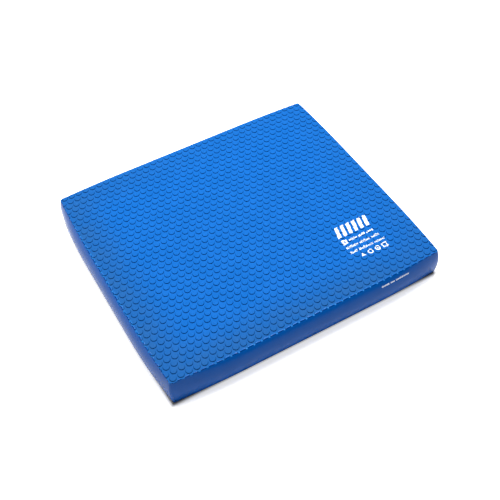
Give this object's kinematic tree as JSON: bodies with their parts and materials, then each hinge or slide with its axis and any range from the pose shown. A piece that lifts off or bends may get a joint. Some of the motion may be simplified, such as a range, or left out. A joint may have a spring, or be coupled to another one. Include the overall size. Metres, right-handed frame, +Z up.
{
  "type": "balance pad",
  "caption": "Rectangular slab of soft closed-cell foam with round raised dots on both faces and smooth rounded sides, laid on the floor to stand on for balance exercises.",
  "frame": {"origin": "on the floor under the middle of the pad: the centre of the bottom of its box", "axes": "+X along the long sides, to the right when the small printed line on the front side faces the viewer; +Y to the back; +Z up, through the thickness"},
  "size_m": [0.46, 0.41, 0.05],
  "materials": {
    "foam": "fine closed cells, matt",
    "top_skin": "moulded foam skin, satin, faint cell grain",
    "base_skin": "moulded foam skin, satin, faint cell grain",
    "side_skin": "smooth dense foam skin, half gloss",
    "ink": "thin flat white printing ink"
  },
  "bodies": {
    "root": {"foam_core": "foam", "top_skin": "top_skin", "base_skin": "base_skin", "side_skin": "side_skin", "title_print": "ink", "line_print": "ink", "symbol_print": "ink", "side_print": "ink"}
  },
  "joints": []
}
